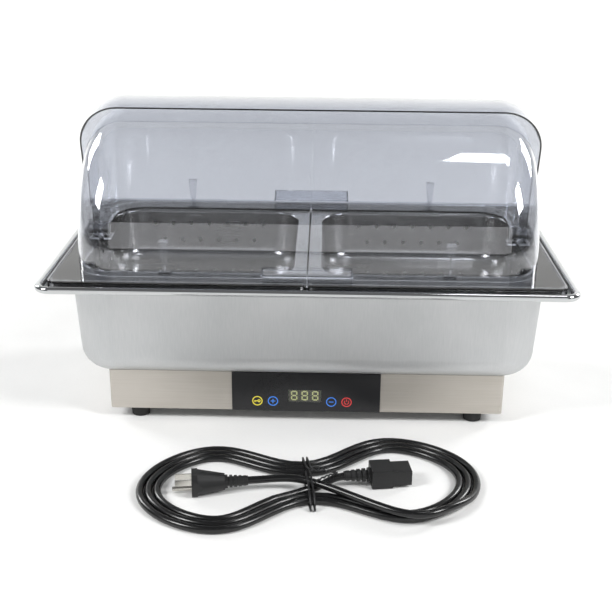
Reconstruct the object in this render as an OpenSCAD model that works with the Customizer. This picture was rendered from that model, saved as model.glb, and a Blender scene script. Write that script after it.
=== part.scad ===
// Electric buffet server: a heated base, a water pan, two perforated food pans and a clear roll-top lid.
// Millimetres. +Z is up, the front faces -Y, and the origin is on the table under the middle of the object.

/* [Water pan] */
// Width over the rolled rim
rim_w = 590; // [580:1:600]
// Depth over the rolled rim
rim_d = 356; // [352:1:366]
// Height of the middle of the rolled rim
rim_z = 177.5; // [172:0.5:182]
// Radius of the rolled rim's bead
bead_r = 4; // [3.5:0.5:4]
// Width of the rim outside the pan's wall
rim_overhang = 29; // [28.5:0.5:30]
// Radius of the rim's corners, seen from above
rim_corner = 18; // [12:1:24]
// Radius of the wall's corners, seen from above
wall_corner = 46; // [44:1:56]
// Thickness of the steel sheet
sheet = 1; // [0.8:0.1:1.2]

/* [Base] */
// Width of the heater base
base_w = 457; // [452:1:462]
// Depth of the heater base
base_d = 246; // [244:1:250]
// Height of the heater base, without its feet
base_h = 48.5; // [48:0.5:50]
// Height of a rubber foot
foot_h = 13.5; // [12:0.5:15]
// Largest radius of a rubber foot
foot_r = 11.5; // [10.5:0.5:13]
// Width of the black control panel
panel_w = 172; // [160:1:190]

/* [Food pans] */
// Opening of one food pan, left to right
pan_open_w = 247.5; // [244:0.5:249]
// Opening of one food pan, front to back
pan_open_d = 264; // [258:1:268]
// Depth of a food pan
pan_depth = 65; // [60:1:75]
// Radius of a drain hole
drain_r = 2.5; // [2:0.1:3]
// Distance between neighbouring drain holes in a row
drain_pitch = 24; // [22:1:25]

/* [Lid] */
// Radius of the front cover's outer face
front_r = 149.5; // [148:0.5:150]
// Half the length of the front cover
front_half = 256.5; // [255:0.5:257]
// How much larger the rear cover is all round
nest = 10; // [9.5:0.5:10.5]
// Thickness of the clear covers
clear_t = 2; // [2:0.1:2.5]
// Radius of the front cover's long corners
cover_corner = 42; // [36:1:48]
// Height of the covers' pivot line above the lid frame
pivot_rise = 9.5; // [9.5:0.5:12]
// Width of the grip on each cover
grip_w = 100; // [80:1:120]

/* [Power cord] */
// Diameter of the power cord
cord_d = 8; // [7:0.1:8]
// Length of the tied bundle, over its outermost strands
bundle_w = 366; // [350:1:372]
// Swell of the bundle's two loops: a little more than their width
bundle_d = 232; // [224:1:240]
// How far the bundle's middle lies in front of the object's middle
bundle_y = 272; // [268:1:300]

/* [Hidden] */
$fn = 48;
steel = "silver";
satin = "lightgrey";
clear = [0.75, 0.78, 0.85, 0.4];
black = "#1c1c1e";
board_green = "#1f5c3a";
copper = "#b87333";
eps = 0.01;
lap = 1;

// Heights from the table up
plate_z = foot_h;
plate_t = 1;
flange_z = plate_z + plate_t;
base_top = foot_h + base_h;
ledge_z = rim_z - bead_r + 0.7;
food_rise = 8.3;
flange_top = ledge_z + food_rise;
frame_t = 3;
frame_top = flange_top + frame_t;
pivot_z = frame_top + pivot_rise;

// The water pan's wall, and where the base stands under it
wall_w = rim_w - 2 * rim_overhang;
wall_d = rim_d - 2 * rim_overhang;
front_y = -base_d / 2;
foot_x = 196;
foot_y = base_d / 2 - 15;
panel_t = 1.5;
panel_mid_z = plate_z + base_h / 2;

// ---- Shapes used by several parts ----
module rounded_rect(w, d, r) {
    square([w - 2 * r, d], center = true);
    square([w, d - 2 * r], center = true);
    for (x = [-1, 1], y = [-1, 1])
        translate([x * (w / 2 - r), y * (d / 2 - r)]) circle(r);
}

module rounded_plate(w, d, r, t) {
    linear_extrude(t) rounded_rect(w, d, r);
}

// Sweeps a profile round a rounded rectangle: its x runs outward from the outline, and its y runs up.
// A second child, if given, is cut from the middle of each straight side.
module sweep_round(w, d, r) {
    for (i = [0 : 3]) {
        x = (i % 2 == 0 ? w : d) / 2;
        y = (i % 2 == 0 ? d : w) / 2;
        rotate(90 * i) {
            translate([x - r, y - r]) rotate_extrude(angle = 90) translate([r, 0]) children(0);
            difference() {
                translate([x, y - r]) rotate([90, 0, 0]) linear_extrude(2 * (y - r)) children(0);
                if ($children > 1) translate([x, 0]) children(1);
            }
        }
    }
}

// Part of a flat ring between two angles less than half a turn apart
module arc_band(outer, inner, from, to) {
    reach = 3 * outer;
    intersection() {
        difference() {
            circle(outer);
            circle(inner);
        }
        polygon(concat([[0, 0]], [for (a = [from, (from + to) / 2, to]) reach * [cos(a), sin(a)]]));
    }
}

function unit(v) = v / norm(v);

// A wire of eight-sided section through a list of points, mitred at each bend
module wire(points, r) {
    sides = 8;
    last = len(points) - 1;
    rings = [for (i = [0 : last])
        let (
            before = unit(points[max(i, 1)] - points[max(i, 1) - 1]),
            after = unit(points[min(i, last - 1) + 1] - points[min(i, last - 1)]),
            along = unit(before + after),
            side = unit(cross(along, [0.1, 0.2, 1])),
            up = cross(side, along)
        )
        for (k = [0 : sides - 1]) let (a = k * 360 / sides) points[i] + r * (cos(a) * side + sin(a) * up)];
    polyhedron(rings, concat(
        [[for (k = [0 : sides - 1]) k], [for (k = [sides - 1 : -1 : 0]) last * sides + k]],
        [for (i = [0 : last - 1], k = [0 : sides - 1], upper = [false, true])
            let (a = i * sides + k, b = i * sides + (k + 1) % sides)
            upper ? [b, a + sides, b + sides] : [b, a, a + sides]]
    ));
}

module ring(outer, inner, h) {
    difference() {
        cylinder(h = h, r = outer);
        translate([0, 0, -1]) cylinder(h = h + 2, r = inner);
    }
}

module slot_cut(w, h) {
    linear_extrude(20, center = true) {
        square([w, h - w], center = true);
        for (y = [-1, 1]) translate([0, y * (h - w) / 2]) circle(w / 2);
    }
}

// Puts a part made for the right-hand side on either side
module side_part(side) {
    mirror([side < 0 ? 1 : 0, 0, 0]) children();
}

// ---- Pressed pans: a lip, a leaning wall and a round blend into the floor ----
function wall_top(top, tilt, lip, t) = top - t - lip + lip * sin(tilt);
function blend_x(top, bottom, tilt, blend, lip, t) =
    -(wall_top(top, tilt, lip, t) - bottom - blend * (1 - sin(tilt))) * tan(tilt) - blend * cos(tilt);

module wall_profile(top, bottom, tilt, blend, lip, t) {
    lip_c = [lip * cos(tilt), top - t - lip];
    blend_c = [blend_x(top, bottom, tilt, blend, lip, t), bottom + blend];
    up = [-cos(tilt), sin(tilt)];
    translate(lip_c) arc_band(lip + t, lip, 90, 180 - tilt);
    translate(blend_c) arc_band(blend, blend - t, -90, -tilt);
    polygon([lip_c + lip * up, lip_c + (lip + t) * up, blend_c - (blend - t) * up, blend_c - blend * up]);
    translate([lip_c[0], top - t]) square([2 * lap, t]);
    translate([blend_c[0] - 2 * lap, bottom]) square([2 * lap, t]);
}

// How far a pan's flat rim starts outside the outline, and how far its flat floor lies inside it
function rim_start(tilt, lip) = lip * cos(tilt) + lap;
function floor_inset(top, bottom, tilt, blend, lip, t) = lap - blend_x(top, bottom, tilt, blend, lip, t);

// ---- Water pan ----
wall_tilt = 3.5;
floor_blend = 28;
rim_lip = 2.5;

module water_pan() {
    hole = rim_start(wall_tilt, rim_lip);
    inset = floor_inset(ledge_z, base_top, wall_tilt, floor_blend, rim_lip, sheet);
    color(satin) {
        sweep_round(wall_w, wall_d, wall_corner)
            wall_profile(ledge_z, base_top, wall_tilt, floor_blend, rim_lip, sheet);
        translate([0, 0, base_top])
            rounded_plate(wall_w - 2 * inset, wall_d - 2 * inset, wall_corner - inset, sheet);
        translate([0, 0, ledge_z - sheet]) linear_extrude(sheet) difference() {
            rounded_rect(rim_w - 2 * bead_r, rim_d - 2 * bead_r, rim_corner - bead_r);
            rounded_rect(wall_w + 2 * hole, wall_d + 2 * hole, wall_corner + hole);
        }
        sweep_round(rim_w, rim_d, rim_corner) translate([-bead_r, rim_z]) difference() {
            circle(bead_r);
            circle(bead_r - sheet);
            translate([-bead_r - 1, -1.5]) square([bead_r, 2]);
        }
    }
}

// ---- Food pans ----
food_sheet = 0.8;
food_tilt = 5;
food_blend = 18;
food_lip = 2.5;
food_corner = 40;
food_gap = 12;
food_x = food_gap + pan_open_w / 2;
food_w = pan_open_w - 2 * (food_lip + food_sheet);
food_d = pan_open_d - 2 * (food_lip + food_sheet);
food_bottom = flange_top - pan_depth;
food_flange_w = rim_w / 2 - 18.5;
food_flange_d = rim_d - 34;
drain_rows = [[7, 18.5], [6, 40]];

// Holes through one straight wall, in two staggered rows
module wall_drains() {
    for (row = drain_rows, i = [0 : row[0] - 1])
        translate([0, (i - (row[0] - 1) / 2) * drain_pitch, flange_top - row[1]])
            rotate([0, 90, 0]) cylinder(h = 40, r = drain_r, center = true);
}

module floor_drains() {
    for (row = [-3 : 3]) {
        count = row % 2 == 0 ? 7 : 6;
        for (i = [0 : count - 1])
            translate([(i - (count - 1) / 2) * drain_pitch, row * drain_pitch]) circle(drain_r);
    }
}

module food_pan(side) {
    hole = rim_start(food_tilt, food_lip);
    inset = floor_inset(flange_top, food_bottom, food_tilt, food_blend, food_lip, food_sheet);
    mid = side * (1 + food_flange_w / 2);
    rim_hole = [food_w + 2 * hole, food_d + 2 * hole, food_corner + hole];
    color(steel) {
        translate([side * food_x, 0, 0]) {
            sweep_round(food_w, food_d, food_corner) {
                wall_profile(flange_top, food_bottom, food_tilt, food_blend, food_lip, food_sheet);
                wall_drains();
            }
            translate([0, 0, food_bottom]) linear_extrude(food_sheet) difference() {
                rounded_rect(food_w - 2 * inset, food_d - 2 * inset, food_corner - inset);
                floor_drains();
            }
        }
        translate([0, 0, flange_top - food_sheet]) linear_extrude(food_sheet) difference() {
            translate([mid, 0]) rounded_rect(food_flange_w, food_flange_d, 10);
            translate([side * food_x, 0]) rounded_rect(rim_hole[0], rim_hole[1], rim_hole[2]);
        }
        translate([mid, 0, ledge_z]) sweep_round(food_flange_w, food_flange_d, 10)
            translate([-food_sheet, 0]) square([food_sheet, flange_top - ledge_z]);
    }
}

// ---- Heater base ----
base_bend = 4;
inlet_x = 150;
inlet_z = 39;
wall_back = base_d / 2;
heater_w = 376;
heater_d = 150;
heater_t = 3;

module at_feet() {
    for (x = [-1, 1], y = [-1, 1]) translate([x * foot_x, y * foot_y, 0]) children();
}

module at_plate_screws() {
    for (x = [-1, 0, 1], y = [-1, 1]) translate([x * 212, y * 113, flange_z]) children();
}

module at_studs() {
    for (x = [-1, 1], y = [-1, 1]) translate([x * 206, y * 88, base_top]) children();
}

module base_housing() {
    color(satin) difference() {
        union() {
            difference() {
                translate([0, 0, plate_z]) rounded_plate(base_w, base_d, base_bend, base_h);
                translate([0, 0, plate_z - 1]) rounded_plate(
                    base_w - 2 * sheet, base_d - 2 * sheet, base_bend - sheet, base_h + 1 - sheet
                );
            }
            translate([0, 0, flange_z]) linear_extrude(sheet) difference() {
                rounded_rect(base_w - sheet, base_d - sheet, base_bend - sheet / 2);
                rounded_rect(base_w - 40, base_d - 30, 6);
            }
        }
        translate([0, 0, base_top - 5]) rounded_plate(heater_w + 6, heater_d + 6, 16, 10);
        translate([0, front_y, panel_mid_z]) cube([124, 20, 34], center = true);
        translate([inlet_x, wall_back, inlet_z]) cube([28.6, 20, 20.8], center = true);
        for (x = [-20, 20])
            translate([inlet_x + x, wall_back + 5, inlet_z]) rotate([90, 0, 0]) cylinder(h = 10, r = 1.8);
        at_plate_screws() translate([0, 0, -5]) cylinder(h = 10, r = 1.7);
        at_feet() translate([0, 0, flange_z - 5]) cylinder(h = 10, r = 5);
        at_studs() translate([0, 0, -5]) cylinder(h = 10, r = 2.3);
        for (x = [-4 : 4]) translate([x * 10 - 110, wall_back, 38]) rotate([90, 0, 0]) slot_cut(3, 18);
    }
}

module base_plate() {
    color(satin) difference() {
        translate([0, 0, plate_z]) rounded_plate(base_w - 2.6, base_d - 2.6, 2.7, plate_t);
        at_plate_screws() translate([0, 0, -5]) cylinder(h = 10, r = 2.2);
        at_feet() translate([0, 0, plate_z - 5]) cylinder(h = 10, r = 2.2);
        for (side = [-1, 1], x = [-5 : 5]) translate([side * 95 + x * 11, 0, plate_z]) slot_cut(3.5, 46);
    }
}

module plate_screws() {
    color(steel) at_plate_screws() translate([0, 0, -plate_t]) {
        translate([0, 0, -2.2]) cylinder(h = 2.2, r = 3.6);
        cylinder(h = 7, r = 1.65);
    }
}

module foot(x, y) {
    color(black) translate([x * foot_x, y * foot_y, 0]) rotate_extrude() polygon([
        [4.6, 0], [foot_r - 2.2, 0], [foot_r - 1.2, 0.6], [foot_r, foot_h - 1], [foot_r, foot_h],
        [2.3, foot_h], [2.3, 6], [4.6, 6]
    ]);
}

module foot_screws() {
    color(steel) at_feet() translate([0, 0, 3]) {
        cylinder(h = 3, r = 3.9);
        cylinder(h = 18, r = 2);
    }
}

module nut() {
    difference() {
        cylinder(h = 3.2, r = 4.04, $fn = 6);
        translate([0, 0, -1]) cylinder(h = 6, r = 2);
    }
}

module nuts() {
    color(steel) {
        at_feet() translate([0, 0, flange_z]) nut();
        at_studs() translate([0, 0, -sheet - 3.2]) nut();
    }
}

module pan_studs() {
    color(steel) at_studs() translate([0, 0, -14]) cylinder(h = 14, r = 2);
}

// ---- Heater ----
element_r = 3.5;
element_z = base_top - heater_t - element_r;
element_leg = 130;
element_y = [-54, -18, 18, 54];
bar_t = 1.3;
bar_z = element_z - element_r - bar_t;
screw_y = [-36, 0, 36];
shield_z = 38.5;
shield_t = 0.8;

module heater_plate() {
    color("#c9ccd0") translate([0, 0, base_top - heater_t]) rounded_plate(heater_w, heater_d, 12, heater_t);
}

module heating_element() {
    along = [0, 90, 0];
    color("#70706c") {
        for (y = element_y) translate([-element_leg, y, element_z])
            rotate(along) cylinder(h = 2 * element_leg, r = element_r);
        for (i = [0 : 2]) {
            end = i % 2 == 0 ? 1 : -1;
            translate([end * element_leg, (element_y[i] + element_y[i + 1]) / 2, element_z])
                rotate(end > 0 ? -90 : 90)
                    rotate_extrude(angle = 180) translate([18, 0]) circle(element_r);
        }
        for (y = [element_y[0], element_y[3]]) translate([-element_leg, y, element_z]) {
            translate([-26, 0, 0]) rotate(along) cylinder(h = 27, r = element_r);
            translate([-38, 0, 0]) rotate(along) cylinder(h = 13, r = 1.6);
        }
    }
}

module clamp_bars() {
    color(steel) for (x = [-80, 80]) translate([x, 0, bar_z]) difference() {
        translate([-7, -68, 0]) cube([14, 136, bar_t]);
        for (y = screw_y) translate([0, y, -1]) cylinder(h = 4, r = 2.1);
    }
}

module clamp_screws() {
    color(steel) for (x = [-80, 80], y = screw_y) translate([x, y, bar_z - 2]) {
        cylinder(h = 2, r = 3.2);
        cylinder(h = base_top - heater_t - bar_z + 2, r = 2);
    }
}

module at_pillars() {
    for (x = [-1, 1], y = [-1, 1]) translate([x * 186, y * 78, flange_z]) children();
}

module heat_shield() {
    color("#d4d6d8") difference() {
        translate([0, 0, shield_z]) rounded_plate(392, 176, 10, shield_t);
        at_pillars() cylinder(h = 60, r = 1.8);
    }
}

module shield_pillars() {
    color(steel) at_pillars() ring(3.5, 1.6, shield_z - flange_z);
}

module thermal_cutout() {
    color("#3a3a3c") translate([0, 36, base_top - heater_t]) {
        translate([0, 0, -1.2]) cylinder(h = 1.2, r = 11);
        translate([0, 0, -5]) cylinder(h = 4, r = 8);
        for (x = [-1, 1]) translate([x * 5, 0, -7]) cube([1, 5, 6], center = true);
    }
}

module temperature_sensor() {
    color("#b9bcc0") translate([20, 0, base_top - heater_t - 3]) rotate([0, 90, 0]) cylinder(h = 28, r = 3);
}

// ---- Control panel ----
key_z = 26;
key_r = 6;
key_x = [-56.5, -38.4, 29.4, 47.2];
board_post_x = [-47.5, 38.3];
mark_t = 0.25;
display_x = -1.5;
display_z = 33;
display_w = 38;
display_h = 15.5;
lens_t = 0.6;
digit_w = 7.4;
digit_h = 12;
digit_pitch = 12.2;
stroke = 1.4;
board_y = front_y + 9.2;
board_gap = board_y - front_y;

module control_panel() {
    color(black) difference() {
        translate([-panel_w / 2, front_y - panel_t, plate_z]) cube([panel_w, panel_t, base_h]);
        translate([display_x, front_y, display_z]) cube([display_w, 8, display_h], center = true);
    }
}

module display_window() {
    color("#2b2d28") translate([display_x, front_y - panel_t + lens_t / 2, display_z])
        cube([display_w, lens_t, display_h], center = true);
}

// Seven bars of a figure, drawn upright in X and Y
module figure_bars() {
    level = [digit_w - 2.2 * stroke, stroke];
    upright = [stroke, digit_h / 2 - 1.4 * stroke];
    for (y = [-1, 0, 1]) translate([0, y * (digit_h - stroke) / 2]) square(level, center = true);
    for (x = [-1, 1], y = [-1, 1])
        translate([x * (digit_w - stroke) / 2, y * digit_h / 4]) square(upright, center = true);
}

module display_digits() {
    color("#d3d7a6") for (i = [-1 : 1])
        translate([display_x + i * digit_pitch, front_y, display_z]) rotate([90, 0, 0])
            linear_extrude(0.4) figure_bars();
}

module display_module() {
    color("#33342e") translate([display_x - 18.5, front_y, display_z - 7.2]) cube([37, board_gap, 14.4]);
}

// A touch key's printed ring and mark: a key, a plus, a minus or a power sign
module key_mark(i) {
    color(["#c9be4a", "#2c5fa8", "#2c5fa8", "#a33030"][i])
        translate([key_x[i], front_y - panel_t, key_z]) rotate([90, 0, 0]) linear_extrude(mark_t) {
            difference() {
                circle(key_r);
                circle(key_r - 1.1);
            }
            if (i == 0) {
                translate([1.9, 0]) difference() {
                    circle(1.8);
                    circle(0.8);
                }
                translate([-1.7, 0]) square([3.8, 0.9], center = true);
                for (x = [-3.2, -1.9]) translate([x, -0.8]) square([0.8, 1.4], center = true);
            }
            if (i == 1 || i == 2) square([5.4, 1], center = true);
            if (i == 1) square([1, 5.4], center = true);
            if (i == 3) {
                arc_band(3, 2.1, -225, -95);
                arc_band(3, 2.1, -85, 45);
                translate([0, 2.2]) square([0.9, 3], center = true);
            }
        }
}

module at_board_posts() {
    for (x = board_post_x, z = [-12.5, 12.5])
        translate([x, board_y, panel_mid_z + z]) rotate([90, 0, 0]) children();
}

module control_board() {
    color(board_green) difference() {
        translate([-60, board_y, panel_mid_z - 16]) cube([120, 1.6, 32]);
        at_board_posts() cylinder(h = 8, r = 1.7, center = true);
    }
}

module board_posts() {
    color(steel) at_board_posts() {
        translate([0, 0, -4]) cylinder(h = board_gap + 4, r = 1.5);
        cylinder(h = board_gap, r = 3);
    }
}

module touch_springs() {
    color(copper) for (x = key_x)
        translate([x, board_y, key_z]) rotate([90, 0, 0]) ring(4.5, 3.7, board_gap);
}

module buzzer() {
    color(black) translate([30, board_y + 1.6, 44]) rotate([-90, 0, 0]) cylinder(h = 8, r = 4);
}

// ---- Power supply ----
supply_x = 150;
supply_y = 42;
supply_z = 20;
supply_top = supply_z + 1.6;

module at_supply_posts() {
    for (x = [-1, 1], y = [-1, 1]) translate([supply_x + x * 34, supply_y + y * 27, supply_z]) children();
}

module power_board() {
    color(board_green) difference() {
        translate([supply_x - 40, supply_y - 32, supply_z]) cube([80, 64, 1.6]);
        at_supply_posts() cylinder(h = 8, r = 1.7, center = true);
    }
}

module supply_posts() {
    drop = supply_z - flange_z;
    color(steel) at_supply_posts() {
        translate([0, 0, -drop]) cylinder(h = drop, r = 3);
        cylinder(h = 4, r = 1.5);
    }
}

module relay() {
    color("#2468b0") translate([supply_x - 34, supply_y - 14, supply_top]) cube([19, 15.5, 12]);
}

module transformer() {
    color("#d8a438") translate([supply_x - 8, supply_y - 22, supply_top]) cube([27, 24, 14]);
}

module capacitor() {
    color("#26283a") translate([supply_x + 29, supply_y - 2, supply_top]) cylinder(h = 14, r = 6);
}

module terminal_block() {
    color("#3d8a4a") translate([supply_x - 15, supply_y + 14, supply_top]) cube([30, 11, 11]);
}

// ---- Mains inlet ----
inlet_pin_places = [[-7, -2], [7, -2], [0, 2]];

module inlet_socket() {
    color(black) translate([inlet_x, wall_back, inlet_z]) difference() {
        union() {
            translate([-25, 0, -11.2]) cube([50, 2.4, 22.4]);
            translate([-14, -18, -10.1]) cube([28, 18.1, 20.2]);
        }
        translate([-12.2, -14, -8]) cube([24.4, 20, 16]);
        for (x = [-20, 20]) translate([x, 4, 0]) rotate([90, 0, 0]) cylinder(h = 6, r = 1.8);
        for (p = inlet_pin_places) translate([p[0] - 2, -20, p[1] - 1]) cube([4, 8, 2]);
    }
}

module inlet_pins() {
    color("#d6d0b8") translate([inlet_x, wall_back, inlet_z])
        for (p = inlet_pin_places) translate([p[0] - 2, -26, p[1] - 1]) cube([4, 24, 2]);
}

module inlet_screws() {
    color(steel) translate([inlet_x, wall_back + 2.4, inlet_z]) for (x = [-20, 20])
        translate([x, 0, 0]) rotate([90, 0, 0]) {
            translate([0, 0, -2]) cylinder(h = 2, r = 3);
            cylinder(h = 10, r = 1.5);
        }
}

// ---- Wires inside the base ----
pin_end = wall_back - 27;
block_end = supply_y + 25.3;

module mains_wires() {
    for (side = [-1, 1]) color(side < 0 ? "#7a4a24" : "#2a5fb0") wire([
        [inlet_x + side * 7, pin_end, inlet_z - 2], [inlet_x + side * 7, 88, 34],
        [supply_x + side * 8, 80, 30], [supply_x + side * 8, block_end, 28]
    ], 1.2);
}

module earth_wire() {
    color("#a8b83a") wire([
        [inlet_x, pin_end, inlet_z + 2], [inlet_x, 91, 48], [190, 98, 52], [203, 91.5, 52]
    ], 1.2);
}

module heater_wires() {
    color("#e8e8e4") for (i = [0, 1]) {
        y = element_y[i * 3];
        level = 28 + 4 * i;
        wire([
            [-element_leg - 38.4, y, element_z], [-201, y, 46], [-201, y * 0.9, level],
            [0, 16 + 8 * i, level], [supply_x - 56, supply_y - 10 + 6 * i, level],
            [supply_x - 35.4, supply_y - 10 + 6 * i, supply_z + 9]
        ], 1.3);
    }
}

module display_cable() {
    color("#8a8c90") wire([
        [40, board_y + 3.2, 34], [40, board_y + 14, 34], [60, -20, 26],
        [supply_x - 30, -2, 25], [supply_x - 30, supply_y - 26, supply_top + 1.6]
    ], 1.5);
}

// ---- Lid frame, its guide posts and the covers' pivots ----
frame_w = rim_w - 28;
frame_d = rim_d - 21;
post_x = 157;
post_y = 134;
post_h = 37.5;
post_w = 10;
pin_r = 4;
hub_r = 8.5;
bracket_x = front_half - 10.5;
bracket_t = 4.5;
bracket_tab_h = 2;
pin_head_r = 7;
pin_head_t = 2.5;
pin_end_x = front_half + nest + 2;

module lid_frame() {
    skirt_z = ledge_z + 0.2;
    color(clear) {
        difference() {
            union() {
                translate([0, 0, flange_top]) rounded_plate(frame_w, frame_d, 8, frame_t);
                translate([0, 0, frame_top - eps]) linear_extrude(1.7) difference() {
                    rounded_rect(frame_w - 3, frame_d - 1.4, 7);
                    rounded_rect(frame_w - 6, frame_d - 4.4, 5.5);
                }
            }
            translate([0, 0, flange_top - 1]) linear_extrude(frame_t + 4) difference() {
                rounded_rect(2 * (front_half - 3), 2 * (front_r - 19.5), 36);
                for (side = [-1, 1]) translate([side * front_half, 0]) square([34, 24], center = true);
            }
        }
        translate([0, 0, skirt_z]) linear_extrude(flange_top - skirt_z + eps) difference() {
            rounded_rect(frame_w, frame_d, 8);
            rounded_rect(frame_w - 4, frame_d - 3.6, 6);
        }
    }
}

module guide_posts() {
    color(clear) for (x = [-1, 1], facing = [0, 180])
        rotate(facing) translate([x * post_x, post_y, frame_top]) {
            rotate([90, 0, 0]) linear_extrude(2.4, center = true)
                polygon([[-2.6, 0], [2.6, 0], [post_w / 2, post_h], [-post_w / 2, post_h]]);
            rotate([90, 0, 90]) linear_extrude(2, center = true)
                polygon([[-1, 0], [-5, 0], [-3, 8], [-1, post_h - 6]]);
            translate([-6.5, -3, 0]) cube([13, 6, 2]);
            translate([-post_w / 2, -2.6, post_h - 1.6]) cube([post_w, 5.2, 1.6]);
        }
}

module along_pivot(from, to, r) {
    translate([from, 0, pivot_z]) rotate([0, 90, 0]) cylinder(h = to - from, r = r);
}

module pivot_brackets() {
    color(clear) for (side = [-1, 1]) side_part(side) difference() {
        union() {
            along_pivot(bracket_x, bracket_x + bracket_t, hub_r);
            translate([bracket_x, -hub_r, frame_top]) cube([bracket_t, 2 * hub_r, pivot_rise]);
            translate([bracket_x - 4, -2, frame_top]) cube([4 + eps, 4, bracket_tab_h]);
        }
        along_pivot(bracket_x - 5, bracket_x + 15, pin_r);
    }
}

module pivot_pins() {
    color("#b6bcc6") for (side = [-1, 1]) side_part(side) {
        along_pivot(bracket_x - pin_head_t, pin_end_x, pin_r);
        along_pivot(bracket_x - pin_head_t, bracket_x, pin_head_r);
        along_pivot(pin_end_x, pin_end_x + pin_head_t, pin_head_r);
    }
}

// ---- Covers: part-turn shells about the pivot line ----
front_past = 3;
rear_past = 14;
low_edge = frame_top + 0.1;
web = 3;

// Half outline of a cover in the plane of the pivot line: x is the distance from the line
module cover_half(half, r, corner) {
    translate([web, corner - half]) square([r - web, 2 * (half - corner)]);
    translate([web, -half]) square([r - corner - web, 2 * half]);
    for (y = [-1, 1]) translate([r - corner, y * (half - corner)]) circle(corner);
}

// facing is -1 for the front cover and 1 for the rear one; past says how many degrees over the top it reaches
module cover(facing, past, half, r, corner, hub_from, hub_to) {
    color(clear) difference() {
        union() {
            difference() {
                translate([0, 0, pivot_z]) rotate([0, 90, 0]) rotate(facing < 0 ? 180 - past : 0)
                    rotate_extrude(angle = 180 + past) difference() {
                        cover_half(half, r, corner);
                        cover_half(half - clear_t, r - clear_t, corner - clear_t);
                    }
                translate([-half - 5, -r - 5, low_edge - 2 * r]) cube([2 * half + 10, 2 * r + 10, 2 * r]);
            }
            for (side = [-1, 1]) side_part(side) along_pivot(hub_from, hub_to, hub_r);
        }
        for (side = [-1, 1]) side_part(side) along_pivot(hub_from - 5, hub_to + 5, pin_r + 0.08);
    }
}

module front_cover() {
    cover(-1, front_past, front_half, front_r, cover_corner, front_half - clear_t - 2.5, front_half + 2);
}

module rear_cover() {
    half = front_half + nest;
    cover(1, rear_past, half, front_r + nest, cover_corner + nest / 2, half - clear_t - 3, half + 1.5);
}

// A finger lip along the foot of a cover, drawn for the rear and turned round for the front
module grip(facing, r, reach, low, high) {
    t = 2.5;
    color(clear) rotate(facing < 0 ? 180 : 0) intersection() {
        rotate([90, 0, 90]) linear_extrude(grip_w, center = true) difference() {
            union() {
                translate([r - 4, low]) square([reach + 4, t]);
                translate([r + reach - t, low]) square([t, high - low]);
            }
            translate([0, pivot_z]) circle(r, $fn = 128);
        }
        translate([0, r - 15, low - 5]) rounded_plate(grip_w, 2 * (reach + 15), 5, high - low + 10);
    }
}

module front_grip() {
    grip(-1, front_r, 6, frame_top + 3.5, frame_top + 12);
}

module rear_grip() {
    grip(1, front_r + nest, 11, frame_top + 3.5, frame_top + 15.5);
}

// ---- Power cord: a tied bundle with a plug and an appliance connector ----
turns = 3;
lay = 1.12 * cord_d;
pinch = 70;
pinch_w = 70;
bundle_h = 2.2 * cord_d;
bundle_turn = 7.4;
plug_x = -62;
connector_x = 38;
axis_z = 11;

// The outermost strand's middle line, pinched in where the tie holds the bundle
function outer_strand(t) = let (x = (bundle_w / 2 - cord_d / 2) * cos(t))
    [x, sin(t) * (bundle_d / 2 - cord_d / 2 - pinch * exp(-pow(x / pinch_w, 2)))];

// A point of the strand at angle t that lies k strands in from the outermost one
function strand(t, k) = let (along = unit(outer_strand(t + 1) - outer_strand(t - 1)))
    outer_strand(t) - k * lay * [along[1], -along[0]];

module strand_outline(k) {
    polygon([for (i = [0 : 71]) strand(i * 5, k)]);
}

module in_bundle() {
    translate([5, -bundle_y, 0]) rotate(bundle_turn) children();
}

module cord_hank() {
    color(black) in_bundle() linear_extrude(bundle_h) {
        difference() {
            strand_outline(-cord_d / 2 / lay);
            strand_outline(turns + cord_d / 2 / lay);
        }
        translate([plug_x, -10]) square([connector_x - plug_x, 20]);
    }
}

// Ribs that thin out toward the cord, along +X from the origin
module strain_relief(length, big, small) {
    ribs = 5;
    step = length / ribs;
    rotate([0, 90, 0]) {
        cylinder(h = length, r = small);
        for (i = [0 : ribs - 1])
            translate([0, 0, i * step])
                cylinder(h = step * 0.6, r = small + (big - small) * (1 - i / ribs));
    }
}

module plug_body() {
    color(black) in_bundle() translate([plug_x, 0, axis_z]) {
        translate([-24, 0, 0]) strain_relief(24, 7, 5);
        intersection() {
            translate([-58, 0, 0]) rotate([0, 90, 0]) union() {
                cylinder(h = 6, r = 15);
                translate([0, 0, 6]) cylinder(h = 28, r1 = 14, r2 = 8.5);
            }
            translate([-70, -13, -axis_z]) cube([60, 26, 2 * axis_z + 2]);
        }
    }
}

module plug_blades() {
    color("#d9dadc") in_bundle() translate([plug_x - 58, 0, axis_z]) {
        for (y = [-1, 1]) translate([-17, y * 6.35 - 0.75, 1]) cube([17, 1.5, 6.35]);
        translate([-20, 0, -6]) rotate([0, 90, 0]) cylinder(h = 20, r = 2.4);
    }
}

module connector_body() {
    color(black) in_bundle() translate([connector_x, 0, axis_z]) {
        translate([28, 0, 0]) mirror([1, 0, 0]) strain_relief(28, 7.5, 5);
        difference() {
            union() {
                translate([28, -13, -10]) cube([22, 26, 20]);
                translate([50, -11.8, -7.8]) cube([20, 23.6, 15.6]);
            }
            for (p = inlet_pin_places) translate([52, p[0] - 2.2, p[1] - 1.2]) cube([20, 4.4, 2.4]);
        }
    }
}

module cord_tie() {
    waist = bundle_d / 2 - pinch;
    color(black) in_bundle() rotate([90, 0, 90]) linear_extrude(5, center = true) difference() {
        translate([0, bundle_h / 2]) square([2 * waist + 4, bundle_h + 3], center = true);
        translate([0, bundle_h / 2]) square([2 * waist + 1, bundle_h + 0.2], center = true);
        translate([-bundle_d, -5]) square([2 * bundle_d, 5]);
    }
}

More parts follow.
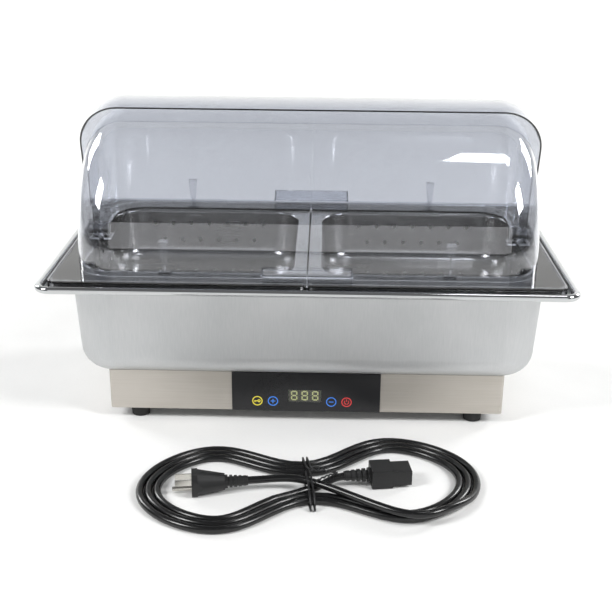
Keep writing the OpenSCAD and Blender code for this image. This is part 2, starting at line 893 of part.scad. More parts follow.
base_housing();
base_plate();
plate_screws();
foot(-1, -1);  // foot_front_left
foot(1, -1);  // foot_front_right
foot(-1, 1);  // foot_rear_left
foot(1, 1);  // foot_rear_right
foot_screws();
nuts();
pan_studs();
heater_plate();
heating_element();
clamp_bars();
clamp_screws();
heat_shield();
shield_pillars();
thermal_cutout();
temperature_sensor();
control_panel();
display_window();
display_digits();
display_module();
key_mark(0);  // key_lock
key_mark(1);  // key_up
key_mark(2);  // key_down
key_mark(3);  // key_power
control_board();
board_posts();
touch_springs();
buzzer();
power_board();
supply_posts();
relay();
transformer();
capacitor();
terminal_block();
inlet_socket();
inlet_pins();
inlet_screws();
mains_wires();
earth_wire();
heater_wires();
display_cable();
water_pan();
food_pan(-1);  // food_pan_left
food_pan(1);  // food_pan_right
lid_frame();
guide_posts();
pivot_brackets();
pivot_pins();
front_cover();
front_grip();
rear_cover();
rear_grip();
cord_hank();
cord_tie();
plug_body();
plug_blades();
connector_body();
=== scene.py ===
"""Looks of an electric buffet server: steel base and pans, a clear roll-top lid and a tied power lead."""

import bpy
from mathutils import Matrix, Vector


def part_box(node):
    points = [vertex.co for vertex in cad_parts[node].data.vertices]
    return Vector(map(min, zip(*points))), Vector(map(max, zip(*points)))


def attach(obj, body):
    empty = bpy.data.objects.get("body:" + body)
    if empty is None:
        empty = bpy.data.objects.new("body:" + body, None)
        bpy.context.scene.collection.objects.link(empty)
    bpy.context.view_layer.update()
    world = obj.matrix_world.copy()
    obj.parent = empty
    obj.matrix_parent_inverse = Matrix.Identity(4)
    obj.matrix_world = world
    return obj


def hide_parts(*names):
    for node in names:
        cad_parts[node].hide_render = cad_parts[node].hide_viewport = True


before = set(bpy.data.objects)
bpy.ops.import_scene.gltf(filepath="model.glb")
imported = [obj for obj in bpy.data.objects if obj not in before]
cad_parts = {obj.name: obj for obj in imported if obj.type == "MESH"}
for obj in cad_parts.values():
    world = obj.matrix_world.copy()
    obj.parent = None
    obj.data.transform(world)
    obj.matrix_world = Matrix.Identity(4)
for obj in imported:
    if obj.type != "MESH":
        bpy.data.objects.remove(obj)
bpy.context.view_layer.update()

import logging
import math
from collections.abc import Iterable, Sequence
from dataclasses import dataclass, field
from enum import Enum
from typing import Any

import bmesh
import bpy
from mathutils import Matrix, Vector

logging.basicConfig(level=logging.INFO, format="%(message)s")
log = logging.getLogger("buffet_server")

MM = 0.001
Point = tuple[float, float, float]


class Body(Enum):
    """The rigid body of the frame that the added pieces ride on."""

    SERVER = "server"


class Grain(Enum):
    """Which way a brushed or drawn surface's lines run, as a stretch along each axis."""

    ALONG_X = (0.012, 1.0, 1.0)
    UPRIGHT = (1.0, 1.0, 0.03)
    NONE = (1.0, 1.0, 1.0)


# ---- Colours and shader nodes ----


def linear(colour: str) -> tuple[float, float, float, float]:
    """Turns an sRGB hex colour into linear light.

    Args:
        colour: Six hex digits after a hash.

    Returns:
        Red, green, blue and a full alpha.
    """
    parts = [int(colour[i : i + 2], 16) / 255 for i in (1, 3, 5)]
    values = [c / 12.92 if c <= 0.04045 else ((c + 0.055) / 1.055) ** 2.4 for c in parts]
    return values[0], values[1], values[2], 1.0


def add_node(
    tree: bpy.types.NodeTree,
    kind: str,
    settings: dict[str | int, Any] | None = None,
    links: dict[str | int, bpy.types.NodeSocket] | None = None,
) -> bpy.types.Node:
    """Adds one node with its settings and links.

    Args:
        tree: The node tree to add to.
        kind: The node's type name.
        settings: Values by input name or number, or by property name where no input has it.
        links: Sockets to link from, by the name or number of the input they go to.

    Returns:
        The new node.
    """
    node = tree.nodes.new(kind)
    for name, value in (settings or {}).items():
        if isinstance(name, int) or name in node.inputs:
            node.inputs[name].default_value = value
        else:
            setattr(node, name, value)
    for name, socket in (links or {}).items():
        tree.links.new(socket, node.inputs[name])
    return node


def grain_space(tree: bpy.types.NodeTree, stretch: Point) -> bpy.types.NodeSocket:
    """Gives the object's own coordinates, squeezed along the axis that the grain follows.

    Args:
        tree: The material's node tree.
        stretch: A factor for each axis.

    Returns:
        The vector socket.
    """
    place = add_node(tree, "ShaderNodeTexCoord")
    node = add_node(tree, "ShaderNodeMapping", {"Scale": stretch}, {"Vector": place.outputs["Object"]})
    return node.outputs["Vector"]


def ranged(
    tree: bpy.types.NodeTree, socket: bpy.types.NodeSocket, low: float, high: float,
    start: float = 0.3, end: float = 0.7,
) -> bpy.types.NodeSocket:
    """Maps a texture's middle range onto the values between low and high.

    Args:
        tree: The material's node tree.
        socket: The texture value.
        low: The result at start.
        high: The result at end.
        start: Texture value that gives low.
        end: Texture value that gives high.

    Returns:
        The mapped socket.
    """
    settings = {"From Min": start, "From Max": end, "To Min": low, "To Max": high}
    return add_node(tree, "ShaderNodeMapRange", settings, {"Value": socket}).outputs["Result"]


@dataclass(frozen=True)
class Finish:
    """A surface: its colour, how it scatters light, and the fine relief that its making left."""

    name: str
    colour: str
    roughness: float
    shade: str = ""
    ior: float = 1.5
    grain: Grain = Grain.NONE
    grain_mm: float = 1.0
    relief_mm: float = 0.02
    spread: float = 0.05

    def build(self) -> bpy.types.Material:
        """Makes the material, or returns it if it is there already."""
        made = bpy.data.materials.get(self.name)
        if made is not None:
            return made
        material = bpy.data.materials.new(self.name)
        material.use_nodes = True
        tree = material.node_tree
        shader = tree.nodes["Principled BSDF"]
        shader.inputs["IOR"].default_value = self.ior
        self.dress(tree, shader)
        log.info("finish %s", self.name)
        return material

    def dress(self, tree: bpy.types.NodeTree, shader: bpy.types.Node) -> None:
        """Adds what this kind of surface shows.

        Args:
            tree: The material's node tree.
            shader: Its Principled shader.
        """
        self.texture(tree, shader)

    def texture(self, tree: bpy.types.NodeTree, shader: bpy.types.Node) -> bpy.types.NodeSocket:
        """Adds the grain: uneven colour, roughness and relief.

        Args:
            tree: The material's node tree.
            shader: Its Principled shader.

        Returns:
            The roughness socket, so that a finish can change it further.
        """
        space = grain_space(tree, self.grain.value)
        size = {"Scale": 1 / (self.grain_mm * MM), "Detail": 3.0}
        fine = add_node(tree, "ShaderNodeTexNoise", size, {"Vector": space}).outputs["Fac"]
        even = grain_space(tree, Grain.NONE.value)
        clouds = {"Scale": 14.0, "Detail": 2.0}
        cloud = add_node(tree, "ShaderNodeTexNoise", clouds, {"Vector": even}).outputs["Fac"]
        both = add_node(tree, "ShaderNodeMath", {"operation": "ADD"}, {0: fine, 1: cloud}).outputs["Value"]
        rough = ranged(tree, both, self.roughness - self.spread, self.roughness + self.spread, 0.7, 1.3)
        tree.links.new(rough, shader.inputs["Roughness"])
        tints = {"data_type": "RGBA", 6: linear(self.colour), 7: linear(self.shade or self.colour)}
        tint = add_node(tree, "ShaderNodeMix", tints, {0: ranged(tree, both, 0.0, 1.0, 0.75, 1.25)})
        tree.links.new(tint.outputs[2], shader.inputs["Base Color"])
        relief = {"Strength": 0.35, "Distance": self.relief_mm * MM}
        bump = add_node(tree, "ShaderNodeBump", relief, {"Height": fine})
        tree.links.new(bump.outputs["Normal"], shader.inputs["Normal"])
        return rough


@dataclass(frozen=True)
class Metal(Finish):
    """A bare metal with its brushing or drawing lines; anisotropic is how far they smear highlights."""

    anisotropic: float = 0.0

    def dress(self, tree: bpy.types.NodeTree, shader: bpy.types.Node) -> None:
        """Makes the surface a conductor with lines. A metal keeps the default index."""
        shader.inputs["Metallic"].default_value = 1.0
        shader.inputs["Anisotropic"].default_value = self.anisotropic
        self.texture(tree, shader)


@dataclass(frozen=True)
class RimmedSteel(Metal):
    """Drawn steel, satin on its wall and ledge, with a rolled rim that is buffed bright."""

    band_mm: float = 8.6
    bright_roughness: float = 0.09

    def dress(self, tree: bpy.types.NodeTree, shader: bpy.types.Node) -> None:
        """Adds the satin surface, then smooths the band along the outer edge."""
        super().dress(tree, shader)
        satin = shader.inputs["Roughness"].links[0].from_socket
        _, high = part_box("water_pan")
        inner = (high[0] - self.band_mm * MM, high[1] - self.band_mm * MM, 0.0)
        place = add_node(tree, "ShaderNodeTexCoord").outputs["Object"]
        apart = add_node(
            tree, "ShaderNodeVectorMath", {"operation": "ABSOLUTE"}, {0: place}
        ).outputs["Vector"]
        past = add_node(tree, "ShaderNodeVectorMath", {"operation": "SUBTRACT", 1: inner}, {0: apart})
        sides = add_node(tree, "ShaderNodeSeparateXYZ", links={"Vector": past.outputs["Vector"]}).outputs
        most = add_node(tree, "ShaderNodeMath", {"operation": "MAXIMUM"}, {0: sides["X"], 1: sides["Y"]})
        mask = ranged(tree, most.outputs["Value"], 0.0, 1.0, 0.0, MM)
        mix = add_node(tree, "ShaderNodeMix", {3: self.bright_roughness}, {0: mask, 2: satin})
        tree.links.new(mix.outputs[0], shader.inputs["Roughness"])


@dataclass(frozen=True)
class ClearPlastic(Finish):
    """A clear plastic, with the slow waviness and hair scratches of a moulding wiped many times."""

    wave_mm: float = 40.0
    wave_height_mm: float = 0.25
    skin: float = 0.6

    def dress(self, tree: bpy.types.NodeTree, shader: bpy.types.Node) -> None:
        """Lets light through, and waves the outer skin alone so that what lies behind stays sharp."""
        shader.inputs["Transmission Weight"].default_value = 1.0
        shader.inputs["Base Color"].default_value = linear(self.colour)
        even = grain_space(tree, Grain.NONE.value)
        waves = {"Scale": 1 / (self.wave_mm * MM), "Detail": 1.0}
        wave = add_node(tree, "ShaderNodeTexNoise", waves, {"Vector": even})
        hair = add_node(
            tree, "ShaderNodeTexNoise", {"Scale": 1 / (self.grain_mm * MM), "Detail": 4.0},
            {"Vector": grain_space(tree, self.grain.value)},
        )
        rough = ranged(tree, hair.outputs["Fac"], self.roughness, self.roughness + self.spread, 0.45, 0.75)
        tree.links.new(rough, shader.inputs["Roughness"])
        swell = {"Strength": 0.6, "Distance": self.wave_height_mm * MM}
        bump = add_node(tree, "ShaderNodeBump", swell, {"Height": wave.outputs["Fac"]})
        tree.links.new(bump.outputs["Normal"], shader.inputs["Coat Normal"])
        shader.inputs["Coat Weight"].default_value = self.skin
        shader.inputs["Coat Roughness"].default_value = self.roughness


@dataclass(frozen=True)
class PaintedGlowFigures(Finish):
    """A light-pipe segment with an even painted glow: emission that stands in for light."""

    painted_glow: float = 1.0

    def dress(self, tree: bpy.types.NodeTree, shader: bpy.types.Node) -> None:
        """Adds the painted glow over a plain diffuser."""
        self.texture(tree, shader)
        # Painted glow: the emission stands in for light, since nothing behind the figures is lit.
        shader.inputs["Emission Color"].default_value = linear(self.colour)
        shader.inputs["Emission Strength"].default_value = self.painted_glow


@dataclass(frozen=True)
class Laminate(Finish):
    """Circuit board: a solder mask over copper tracks that stand out as a paler grid."""

    track_mm: float = 2.5

    def dress(self, tree: bpy.types.NodeTree, shader: bpy.types.Node) -> None:
        """Adds the tracks under the mask."""
        self.texture(tree, shader)
        even = grain_space(tree, Grain.NONE.value)
        brick = {
            "Scale": 1 / (4 * self.track_mm * MM), "Mortar Size": 0.05,
            "Color1": linear(self.colour), "Color2": linear(self.shade), "Mortar": linear("#4f9a6a"),
        }
        tracks = add_node(tree, "ShaderNodeTexBrick", brick, {"Vector": even})
        tree.links.new(tracks.outputs["Color"], shader.inputs["Base Color"])


# ---- Finishes ----

# Stainless sheet, belt-brushed along its length: fine lines, a soft warm grey and a wide dull highlight.
SATIN_SHEET = Metal("stainless_brushed_satin", "#C9C4BD", 0.5, "#C1BCB4", grain=Grain.ALONG_X, grain_mm=0.8,
                    relief_mm=0.012, spread=0.04, anisotropic=0.2)
# Stainless, deep drawn and left satin, its rolled rim buffed: an even pale wall, a bead like a dark mirror.
DRAWN_PAN = RimmedSteel("stainless_deep_drawn", "#CDCECF", 0.5, "#C7C9CA", grain=Grain.UPRIGHT, grain_mm=1.0,
                        relief_mm=0.008, spread=0.03, anisotropic=0.1)
# Stainless, drawn and buffed: soft streaks of light on the rounded walls, and a floor that falls dark.
POLISHED_PAN = Metal("stainless_buffed", "#BDBCBA", 0.24, "#AFAEAC", grain=Grain.ALONG_X, grain_mm=1.4,
                     relief_mm=0.003, spread=0.04, anisotropic=0.2)
# Mill-finish steel sheet: flat, slightly cloudy grey.
MILL_STEEL = Metal("steel_mill_finish", "#A9A9A8", 0.5, "#989896", grain=Grain.ALONG_X, grain_mm=1.5)
# Blasted stainless pivot pins: an even, pale grey that takes no sharp reflections.
BLASTED_STEEL = Metal("stainless_blasted", "#DCDDDE", 0.55, "#D0D1D3", grain_mm=0.5)
# Zinc-plated screws and studs: a bright, slightly blue dull gleam.
ZINC_PLATE = Metal("steel_zinc_plated", "#BFC2C6", 0.35, "#A9ACB2", grain_mm=0.5)
# Rolled aluminium heat spreader: pale and silky, with rolling lines.
ROLLED_ALUMINIUM = Metal("aluminium_rolled", "#D6D8DA", 0.38, "#C7C9CC", grain=Grain.ALONG_X)
# Aluminised steel shield: bright, with a fine frosty spangle.
ALUMINISED = Metal("steel_aluminised", "#CFD2D4", 0.3, "#B9BCBF", grain_mm=4.0, spread=0.1)
# Heating element sheath, annealed by its own heat: dull brown-grey with straw patches.
ANNEALED_SHEATH = Metal("sheath_heat_tinted", "#5E5A52", 0.55, "#6E6248", grain_mm=6.0, spread=0.1)
# Phosphor bronze springs, plated: a warm soft shine.
SPRING_BRONZE = Metal("phosphor_bronze_spring", "#C88A52", 0.3, "#B37A48", grain_mm=0.6)
# Nickel-plated brass pins and blades: bright, slightly yellow white.
NICKEL_PLATE = Metal("brass_nickel_plated", "#D8D6D0", 0.18, "#C6C3BC", grain=Grain.ALONG_X, grain_mm=0.7)
# Polycarbonate covers, thermoformed: clear with a faint lilac-grey cast, glassy, a little wavy.
COVER_CLEAR = ClearPlastic("polycarbonate_thermoformed", "#E9EBF0", 0.015, ior=1.585, grain=Grain.ALONG_X,
                           grain_mm=1.5, spread=0.03)
# The same plastic for the outer cover, with a slightly deeper cast.
REAR_CLEAR = ClearPlastic("polycarbonate_thermoformed_outer", "#DEE1E8", 0.015, ior=1.585,
                          grain=Grain.ALONG_X, grain_mm=1.5, spread=0.03)
# Polycarbonate frame and fittings, injection moulded: clear, flatter, slightly frosted by wiping.
FRAME_CLEAR = ClearPlastic("polycarbonate_moulded", "#F2F3F6", 0.03, ior=1.585, grain_mm=1.0, spread=0.05,
                           wave_mm=60.0, wave_height_mm=0.1, skin=0.0)
# Smoked acrylic lens over the display: dark, with the painted glow of the figures behind it showing through.
SMOKED_LENS = ClearPlastic("acrylic_smoked", "#B9BBA6", 0.04, ior=1.49, wave_height_mm=0.02)
# Polyester overlay, back-printed gloss black: deep black with a sharp reflection and faint dust.
GLOSS_OVERLAY = Finish("polyester_overlay_black", "#161618", 0.3, "#1B1B1E", ior=1.5, grain_mm=0.8,
                       relief_mm=0.004, spread=0.04)
# Touch marks, screened in clear inks, with a painted glow: even, clean colour in any room.
INK_YELLOW = PaintedGlowFigures("ink_yellow_painted_glow", "#D8CB45", 0.4, "#CCBF40", grain_mm=0.4, painted_glow=0.35)
INK_BLUE = PaintedGlowFigures("ink_blue_painted_glow", "#3C78D0", 0.4, "#346CC0", grain_mm=0.4, painted_glow=0.45)
INK_RED = PaintedGlowFigures("ink_red_painted_glow", "#CC3C3C", 0.4, "#BA3636", grain_mm=0.4, painted_glow=0.35)
# Diffused light-pipe segments: pale yellow-green, with an even painted glow.
SEGMENTS_PAINTED_GLOW = PaintedGlowFigures("light_pipe_segments_painted_glow", "#DCE0B0", 0.5, "#D2D6A4", grain_mm=0.5, painted_glow=1.1)
# Reflector case of the display: dark olive grey moulding.
DISPLAY_CASE = Finish("abs_display_case", "#3A3B34", 0.55, "#34352F", grain_mm=0.5)
# Moulded rubber feet: matt black with a dusty bloom.
FOOT_RUBBER = Finish("rubber_moulded", "#1C1C1C", 0.75, "#262626", ior=1.52, grain_mm=0.6, relief_mm=0.06)
# Flexible vinyl cord: black with a soft long highlight.
CORD_VINYL = Finish("vinyl_cord_black", "#0A0A0B", 0.24, "#0F0F10", ior=1.53, grain_mm=0.8,
                    relief_mm=0.004, spread=0.05)
# Moulded vinyl plug and connector: the same black, textured by the mould, so duller.
MOULDED_VINYL = Finish("vinyl_moulded_black", "#141415", 0.42, "#1A1A1B", ior=1.53, grain_mm=0.5,
                       relief_mm=0.05)
# Plastic-coated tie wire: black and slightly shiny.
TIE_COAT = Finish("tie_wire_coating", "#161617", 0.4, "#1E1E20", grain_mm=0.5)
# Glass-filled nylon mouldings: matt black with a fine speckle.
NYLON_BLACK = Finish("nylon_moulded_black", "#202021", 0.5, "#2A2A2B", grain_mm=0.4, relief_mm=0.03)
# Relay case, moulded in blue.
RELAY_CASE = Finish("relay_case_blue", "#2B6FC0", 0.42, "#2462AC", grain_mm=0.5)
# Transformer in yellow polyester tape: slightly glossy with lapped edges.
POLYESTER_TAPE = Finish("polyester_tape_yellow", "#DDA63A", 0.35, "#C9952F", grain_mm=3.0, relief_mm=0.05)
# Terminal block, moulded in green nylon.
NYLON_GREEN = Finish("nylon_moulded_green", "#3F8C4C", 0.5, "#377E43", grain_mm=0.5)
# Circuit boards: green solder mask, glossy, with tracks.
BOARD = Laminate("board_solder_mask", "#1F5C3A", 0.28, "#266B45", grain_mm=0.6)
# Wire insulation and sleeves: soft matt plastics, and a woven glass sleeve on the heater leads.
WIRE_BROWN = Finish("wire_insulation_brown", "#6A4028", 0.5, "#5C3722", grain_mm=0.5)
WIRE_EARTH = Finish("wire_insulation_earth", "#A9B83A", 0.5, "#5F9A3A", grain_mm=6.0)
GLASS_SLEEVE = Finish("glass_braid_sleeve", "#E6E4DC", 0.8, "#D2CFC4", grain_mm=0.8, relief_mm=0.15)
CABLE_GREY = Finish("cable_jacket_grey", "#8C8E92", 0.5, "#7F8185", grain_mm=0.6)
# Studio floor: pale matt paper.
PAPER = Finish("studio_paper", "#F4F4F3", 0.85, "#F1F1F0", grain_mm=3.0, relief_mm=0.02)


# ---- Small shared tools ----


def dress_nodes(finish: Finish, names: Iterable[str]) -> None:
    """Gives CAD nodes a finish.

    Args:
        finish: The finish.
        names: The nodes' names.
    """
    material = finish.build()
    for name in names:
        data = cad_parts[name].data
        data.materials.clear()
        data.materials.append(material)
        log.info("node %s: %s", name, finish.name)


def add_piece(
    name: str, data: bpy.types.ID, finish: Finish, body: Body, hidden: Sequence[str] = ()
) -> bpy.types.Object:
    """Adds a new piece to the scene.

    Args:
        name: The piece's name.
        data: Its mesh or curve.
        finish: What it is made of.
        body: The body it moves with.
        hidden: CAD nodes that it stands for.

    Returns:
        The new object.
    """
    piece = bpy.data.objects.new(name, data)
    bpy.context.scene.collection.objects.link(piece)
    data.materials.append(finish.build())
    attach(piece, body.value)
    if hidden:
        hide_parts(*hidden)
    log.info("piece %s rides on %s", name, body.value)
    return piece


def round_curve(name: str, points: Sequence[Point], radius: float) -> bpy.types.Curve:
    """Makes a round rod along points.

    Args:
        name: The curve's name.
        points: Its points, in metres.
        radius: The rod's radius.

    Returns:
        The curve.
    """
    curve = bpy.data.curves.new(name, "CURVE")
    curve.dimensions = "3D"
    curve.bevel_depth = radius
    curve.bevel_resolution = 5
    curve.use_fill_caps = True
    spline = curve.splines.new("POLY")
    spline.points.add(len(points) - 1)
    for target, point in zip(spline.points, points):
        target.co = (*point, 1.0)
    spline.use_smooth = True
    return curve


def smooth_step(value: float) -> float:
    """Eases from 0 to 1 with level ends, for a value held between them."""
    held = min(max(value, 0.0), 1.0)
    return held * held * (3 - 2 * held)


def through(points: Sequence[Point], steps: int) -> list[Point]:
    """Runs a smooth curve through points.

    Args:
        points: The points to pass through.
        steps: Pieces between two neighbours.

    Returns:
        The points of the curve, the first and last ones included.
    """
    ends = [points[0], *points, points[-1]]
    path = []
    for a, b, c, d in zip(ends, ends[1:], ends[2:], ends[3:]):
        for i in range(steps):
            t = i / steps
            weights = (
                (-t + 2 * t * t - t ** 3) / 2,
                (2 - 5 * t * t + 3 * t ** 3) / 2,
                (t + 4 * t * t - 3 * t ** 3) / 2,
                (t ** 3 - t * t) / 2,
            )
            path.append(tuple(sum(w * p[k] for w, p in zip(weights, (a, b, c, d))) for k in range(3)))
    path.append(tuple(points[-1]))
    return path


# ---- Camera, lights and floor ----


@dataclass
class Studio:
    """A pale paper sweep, soft boxes and the camera. Lengths in metres, angles in degrees."""

    eye: Point = (0.0183, -1.2408, 0.575)
    yaw: float = -0.991
    pitch: float = 21.06
    roll: float = 0.56
    lens: float = 62.65
    floor_size: float = 9.0
    sweep_y: float = 1.6
    sweep_r: float = 0.8

    def build(self) -> None:
        """Makes the camera, the floor and the lights."""
        self.build_camera()
        self.build_floor()
        self.build_lights()

    def build_camera(self) -> None:
        """Stands the camera in front of the server, looking down at it."""
        yaw, pitch, roll = (math.radians(a) for a in (self.yaw, self.pitch, self.roll))
        ahead = Vector((math.sin(yaw) * math.cos(pitch), math.cos(yaw) * math.cos(pitch), -math.sin(pitch)))
        right = Vector((math.cos(yaw), -math.sin(yaw), 0.0))
        up = right.cross(ahead)
        tilted_right = right * math.cos(roll) + up * math.sin(roll)
        tilted_up = up * math.cos(roll) - right * math.sin(roll)
        data = bpy.data.cameras.new("camera")
        data.lens = self.lens
        data.sensor_width = 36.0
        data.clip_start, data.clip_end = 0.05, 30.0
        camera = bpy.data.objects.new("camera", data)
        turn = Matrix((tilted_right, tilted_up, -ahead)).transposed().to_4x4()
        camera.matrix_world = Matrix.Translation(self.eye) @ turn
        bpy.context.scene.collection.objects.link(camera)
        bpy.context.scene.camera = camera
        bpy.context.scene.view_settings.view_transform = "Standard"

    def build_floor(self) -> None:
        """Makes a floor that curves up into a wall behind."""
        half = self.floor_size / 2
        profile = [(-half, 0.0), (self.sweep_y, 0.0)]
        for i in range(1, 13):
            a = math.radians(90 * i / 12)
            profile.append((self.sweep_y + self.sweep_r * math.sin(a), self.sweep_r * (1 - math.cos(a))))
        profile.append((self.sweep_y + self.sweep_r, half))
        mesh = bmesh.new()
        rows = [[mesh.verts.new((x, y, z)) for x in (-half, half)] for y, z in profile]
        for a, b in zip(rows, rows[1:]):
            mesh.faces.new((a[0], a[1], b[1], b[0])).smooth = True
        data = bpy.data.meshes.new("floor")
        mesh.to_mesh(data)
        mesh.free()
        data.materials.append(PAPER.build())
        floor = bpy.data.objects.new("floor", data)
        bpy.context.scene.collection.objects.link(floor)

    def build_lights(self) -> None:
        """Stands soft boxes at both sides, a small strip high up and a wide dim panel in front."""
        self.add_light("left_box", (-1.5, -0.95, 1.4), (0, 0, 0.1), (0.55, 0.75), 25.0)
        self.add_light("right_box", (1.55, -0.9, 1.4), (0, 0, 0.1), (0.55, 0.75), 27.0)
        self.add_light("left_rear_box", (-2.1, 1.3, 1.3), (0, 1.2, 0.1), (0.7, 0.9), 30.0)
        self.add_light("right_rear_box", (2.1, 1.3, 1.3), (0, 1.2, 0.1), (0.7, 0.9), 30.0)
        self.add_light("high_strip", (0.52, -0.17, 1.75), (0.15, -0.1, 0.3), (0.26, 0.4), 2.4)
        self.add_light("front_panel", (0.2, -2.9, 0.75), (0, 0, 0.1), (2.6, 1.2), 9.0)
        world = bpy.data.worlds.new("studio")
        world.use_nodes = True
        back = world.node_tree.nodes["Background"]
        back.inputs["Color"].default_value = linear("#F2F3F5")
        back.inputs["Strength"].default_value = 0.2
        bpy.context.scene.world = world

    def add_light(self, name: str, place: Point, aim: Point, size: tuple[float, float], power: float) -> None:
        """Adds one soft box.

        Args:
            name: The light's name.
            place: Where it hangs.
            aim: The point that it faces.
            size: Its width and height.
            power: Its power in watts.
        """
        data = bpy.data.lights.new(name, "AREA")
        data.shape = "RECTANGLE"
        data.size, data.size_y = size
        data.energy = power
        light = bpy.data.objects.new(name, data)
        light.location = place
        light.rotation_mode = "QUATERNION"
        light.rotation_quaternion = (Vector(aim) - Vector(place)).to_track_quat("-Z", "Y")
        bpy.context.scene.collection.objects.link(light)
        log.info("light %s, %.0f W", name, power)


# ---- Power lead ----


@dataclass
class PowerLead:
    """The lead in its pinched, tied bundle: millimetres in its own frame, then turned onto the table."""

    diameter: float = 8.0
    width: float = 366.0
    swell: float = 232.0
    pinch: float = 70.0
    pinch_width: float = 70.0
    start_deg: float = 262.0
    end_deg: float = -770.0
    laid_points: int = 259
    lift_deg: float = 30.0
    lift_from_end_deg: float = 34.0
    twist_deg: float = 75.0
    place: tuple[float, float] = (5.0, -272.0)
    turn: float = 7.4
    plug_x: float = -62.0
    connector_x: float = 38.0
    axis_z: float = 11.0
    lay: float = field(init=False)

    def __post_init__(self) -> None:
        """Works out how far apart the strands lie."""
        self.lay = 1.12 * self.diameter

    def outer_strand(self, angle: float) -> tuple[float, float]:
        """The outermost strand's middle line at an angle of its turn, in degrees."""
        a = math.radians(angle)
        x = (self.width - self.diameter) / 2 * math.cos(a)
        waist = self.pinch * math.exp(-((x / self.pinch_width) ** 2))
        return x, math.sin(a) * ((self.swell - self.diameter) / 2 - waist)

    def strand(self, angle: float, inward: float) -> tuple[float, float]:
        """A point of the strand that lies some strands in from the outermost one.

        Args:
            angle: Angle of the turn, in degrees.
            inward: How many strands in.

        Returns:
            Its x and y.
        """
        x, y = self.outer_strand(angle)
        (x0, y0), (x1, y1) = self.outer_strand(angle - 1), self.outer_strand(angle + 1)
        along = math.hypot(x1 - x0, y1 - y0)
        return x - inward * self.lay * (y1 - y0) / along, y + inward * self.lay * (x1 - x0) / along

    def route(self) -> list[Point]:
        """The cord's middle line from the connector to the plug, in the bundle's frame."""
        rest = self.diameter / 2
        over = rest + self.diameter + 0.6
        tail = [
            (self.connector_x + 4, 0.0, self.axis_z), (29.0, -1.2, 9.6), (17.0, -5.0, 6.0), (6.0, -9.8, rest),
            (-6.0, -14.6, rest), (-17.0, -19.6, rest),
        ]
        laid = []
        for i in range(self.laid_points):
            angle = self.start_deg + (self.end_deg - self.start_deg) * i / (self.laid_points - 1)
            x, y = self.strand(angle, (angle - self.end_deg) / 360)
            lift = smooth_step((self.end_deg + self.lift_from_end_deg - angle) / self.lift_deg)
            laid.append((x, y, rest + (over - rest) * lift))
        crossing = [
            (99.0, -83.6, over), (80.0, -76.0, over), (61.0, -61.5, over), (42.0, -44.5, over),
            (23.0, -27.5, over), (4.0, -12.5, over), (-15.0, -3.4, over), (-32.0, -0.6, 12.0),
            (-47.0, 0.2, 11.2), (self.plug_x - 4, 0.0, self.axis_z),
        ]
        return [*through([*tail, laid[0]], 4)[:-1], *laid[:-1], *through([laid[-1], *crossing], 4)]

    def on_table(self, point: Point) -> Point:
        """Turns a point of the bundle's frame onto the table, in metres."""
        a = math.radians(self.turn)
        x, y, z = point
        return (
            (self.place[0] + x * math.cos(a) - y * math.sin(a)) * MM,
            (self.place[1] + x * math.sin(a) + y * math.cos(a)) * MM,
            z * MM,
        )

    def build(self) -> None:
        """Lays the cord and its tie, and gives the plug and connector their finishes."""
        path = [self.on_table(point) for point in self.route()]
        curve = round_curve("power_cord", path, self.diameter / 2 * MM)
        cord = add_piece("power_cord", curve, CORD_VINYL, Body.SERVER, ["cord_hank"])
        tie = self.build_tie()
        dress_nodes(MOULDED_VINYL, ["plug_body", "connector_body"])
        dress_nodes(NICKEL_PLATE, ["plug_blades"])

    def build_tie(self) -> bpy.types.Object:
        """Wraps a tie wire twice round the waist and twists its ends into a bent tail."""
        half, top, r = self.swell / 2 - self.pinch + 1.6, 2.2 * self.diameter + 0.9, 0.9
        loop = []
        for turn in range(2):
            x = 4.4 * turn - 2.2
            loop += [
                (x, 0.0, top), (x, 6 - half * 0.5, top), (x, 9 - half, 13.0),
                (x, 1.5 - half, 7.6), (x, -half, 4.5),
                (x, 1.8 - half, 0.9), (x, 0.0, 0.9), (x + 2.2, half - 1.8, 0.9), (x + 2.2, half, 4.5),
                (x + 2.2, half - 1.5, 8.6), (x + 3, half * 0.45, 12.0), (x + 4, half * 0.2, top - 2),
            ]
        corners = [
            (2.2, 2.0, top), (16.0, 1.0, top - 0.4), (30.0, -2.0, top - 2.4),
            (20.0, -11.0, top), (7.0, -20.0, top),
        ]
        tail = through(corners, 14)
        twist = []
        for i, (x, y, z) in enumerate(tail):
            a = math.radians(self.twist_deg * i)
            twist.append((x + 0.4 * math.cos(a), y + 1.1 * math.sin(a), z + 0.6 * math.cos(a)))
        curve = round_curve("tie_wire", [self.on_table(p) for p in [*through(loop, 4), *twist]], r * MM)
        return add_piece("tie_wire", curve, TIE_COAT, Body.SERVER, ["cord_tie"])


# ---- The server's own sub-assemblies ----


@dataclass
class HeaterBase:
    """The folded steel base with its plate, feet and fasteners."""

    feet: tuple[str, ...] = ("foot_front_left", "foot_front_right", "foot_rear_left", "foot_rear_right")

    def dress(self) -> None:
        """Gives the base its finishes."""
        dress_nodes(SATIN_SHEET, ["base_housing"])
        dress_nodes(MILL_STEEL, ["base_plate"])
        dress_nodes(FOOT_RUBBER, self.feet)
        dress_nodes(ZINC_PLATE, ["plate_screws", "foot_screws", "nuts", "pan_studs"])


@dataclass
class Heater:
    """The heat spreader, element, clamps, shield and sensors under the water pan."""

    def dress(self) -> None:
        """Gives the heater its finishes."""
        dress_nodes(ROLLED_ALUMINIUM, ["heater_plate"])
        dress_nodes(ANNEALED_SHEATH, ["heating_element"])
        dress_nodes(ALUMINISED, ["heat_shield"])
        dress_nodes(ZINC_PLATE, ["clamp_bars", "clamp_screws", "shield_pillars", "temperature_sensor"])
        dress_nodes(NYLON_BLACK, ["thermal_cutout"])


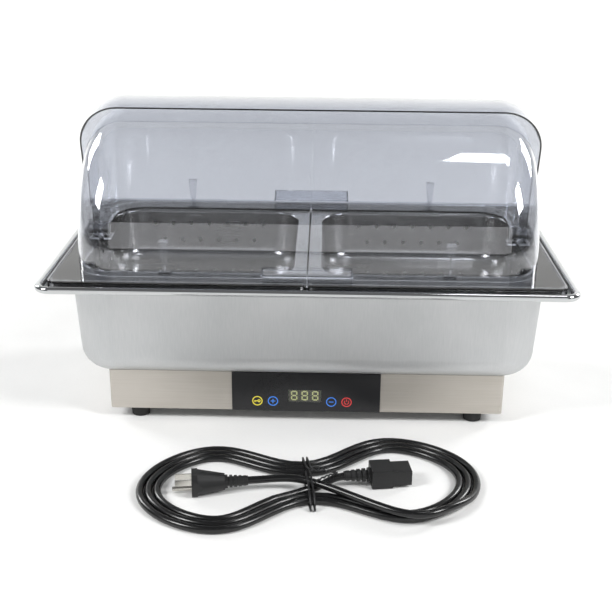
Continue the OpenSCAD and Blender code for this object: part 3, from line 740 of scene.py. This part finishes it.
@dataclass
class ControlPanel:
    """The black overlay with its display, touch marks and the board behind them."""

    def dress(self) -> None:
        """Gives the panel and its board their finishes."""
        dress_nodes(GLOSS_OVERLAY, ["control_panel"])
        dress_nodes(SMOKED_LENS, ["display_window"])
        dress_nodes(SEGMENTS_PAINTED_GLOW, ["display_digits"])
        dress_nodes(DISPLAY_CASE, ["display_module"])
        dress_nodes(INK_YELLOW, ["key_lock"])
        dress_nodes(INK_BLUE, ["key_up", "key_down"])
        dress_nodes(INK_RED, ["key_power"])
        dress_nodes(BOARD, ["control_board"])
        dress_nodes(ZINC_PLATE, ["board_posts"])
        dress_nodes(SPRING_BRONZE, ["touch_springs"])
        dress_nodes(NYLON_BLACK, ["buzzer"])


@dataclass
class PowerSupply:
    """The power board, the mains inlet and the wires between them."""

    def dress(self) -> None:
        """Gives the electrical parts their finishes."""
        dress_nodes(BOARD, ["power_board"])
        dress_nodes(ZINC_PLATE, ["supply_posts", "inlet_screws"])
        dress_nodes(RELAY_CASE, ["relay"])
        dress_nodes(POLYESTER_TAPE, ["transformer"])
        dress_nodes(NYLON_BLACK, ["capacitor", "inlet_socket"])
        dress_nodes(NYLON_GREEN, ["terminal_block"])
        dress_nodes(NICKEL_PLATE, ["inlet_pins"])
        dress_nodes(WIRE_BROWN, ["mains_wires"])
        dress_nodes(WIRE_EARTH, ["earth_wire"])
        dress_nodes(GLASS_SLEEVE, ["heater_wires"])
        dress_nodes(CABLE_GREY, ["display_cable"])


@dataclass
class Pans:
    """The water pan and the two perforated food pans."""

    def dress(self) -> None:
        """Gives the pans their finishes."""
        dress_nodes(DRAWN_PAN, ["water_pan"])
        dress_nodes(POLISHED_PAN, ["food_pan_left", "food_pan_right"])


@dataclass
class Lid:
    """The clear frame with its posts and pivots, and the two covers."""

    def dress(self) -> None:
        """Gives the lid its finishes."""
        dress_nodes(FRAME_CLEAR, ["lid_frame", "guide_posts", "pivot_brackets"])
        dress_nodes(BLASTED_STEEL, ["pivot_pins"])
        dress_nodes(COVER_CLEAR, ["front_cover", "front_grip"])
        dress_nodes(REAR_CLEAR, ["rear_cover", "rear_grip"])


def main() -> None:
    """Builds the scene: the studio and the lead first, then each sub-assembly's finishes."""
    Studio().build()
    PowerLead().build()
    for assembly in (HeaterBase(), Heater(), ControlPanel(), PowerSupply(), Pans(), Lid()):
        log.info("dressing %s", type(assembly).__name__)
        assembly.dress()


if __name__ == "__main__":
    main()
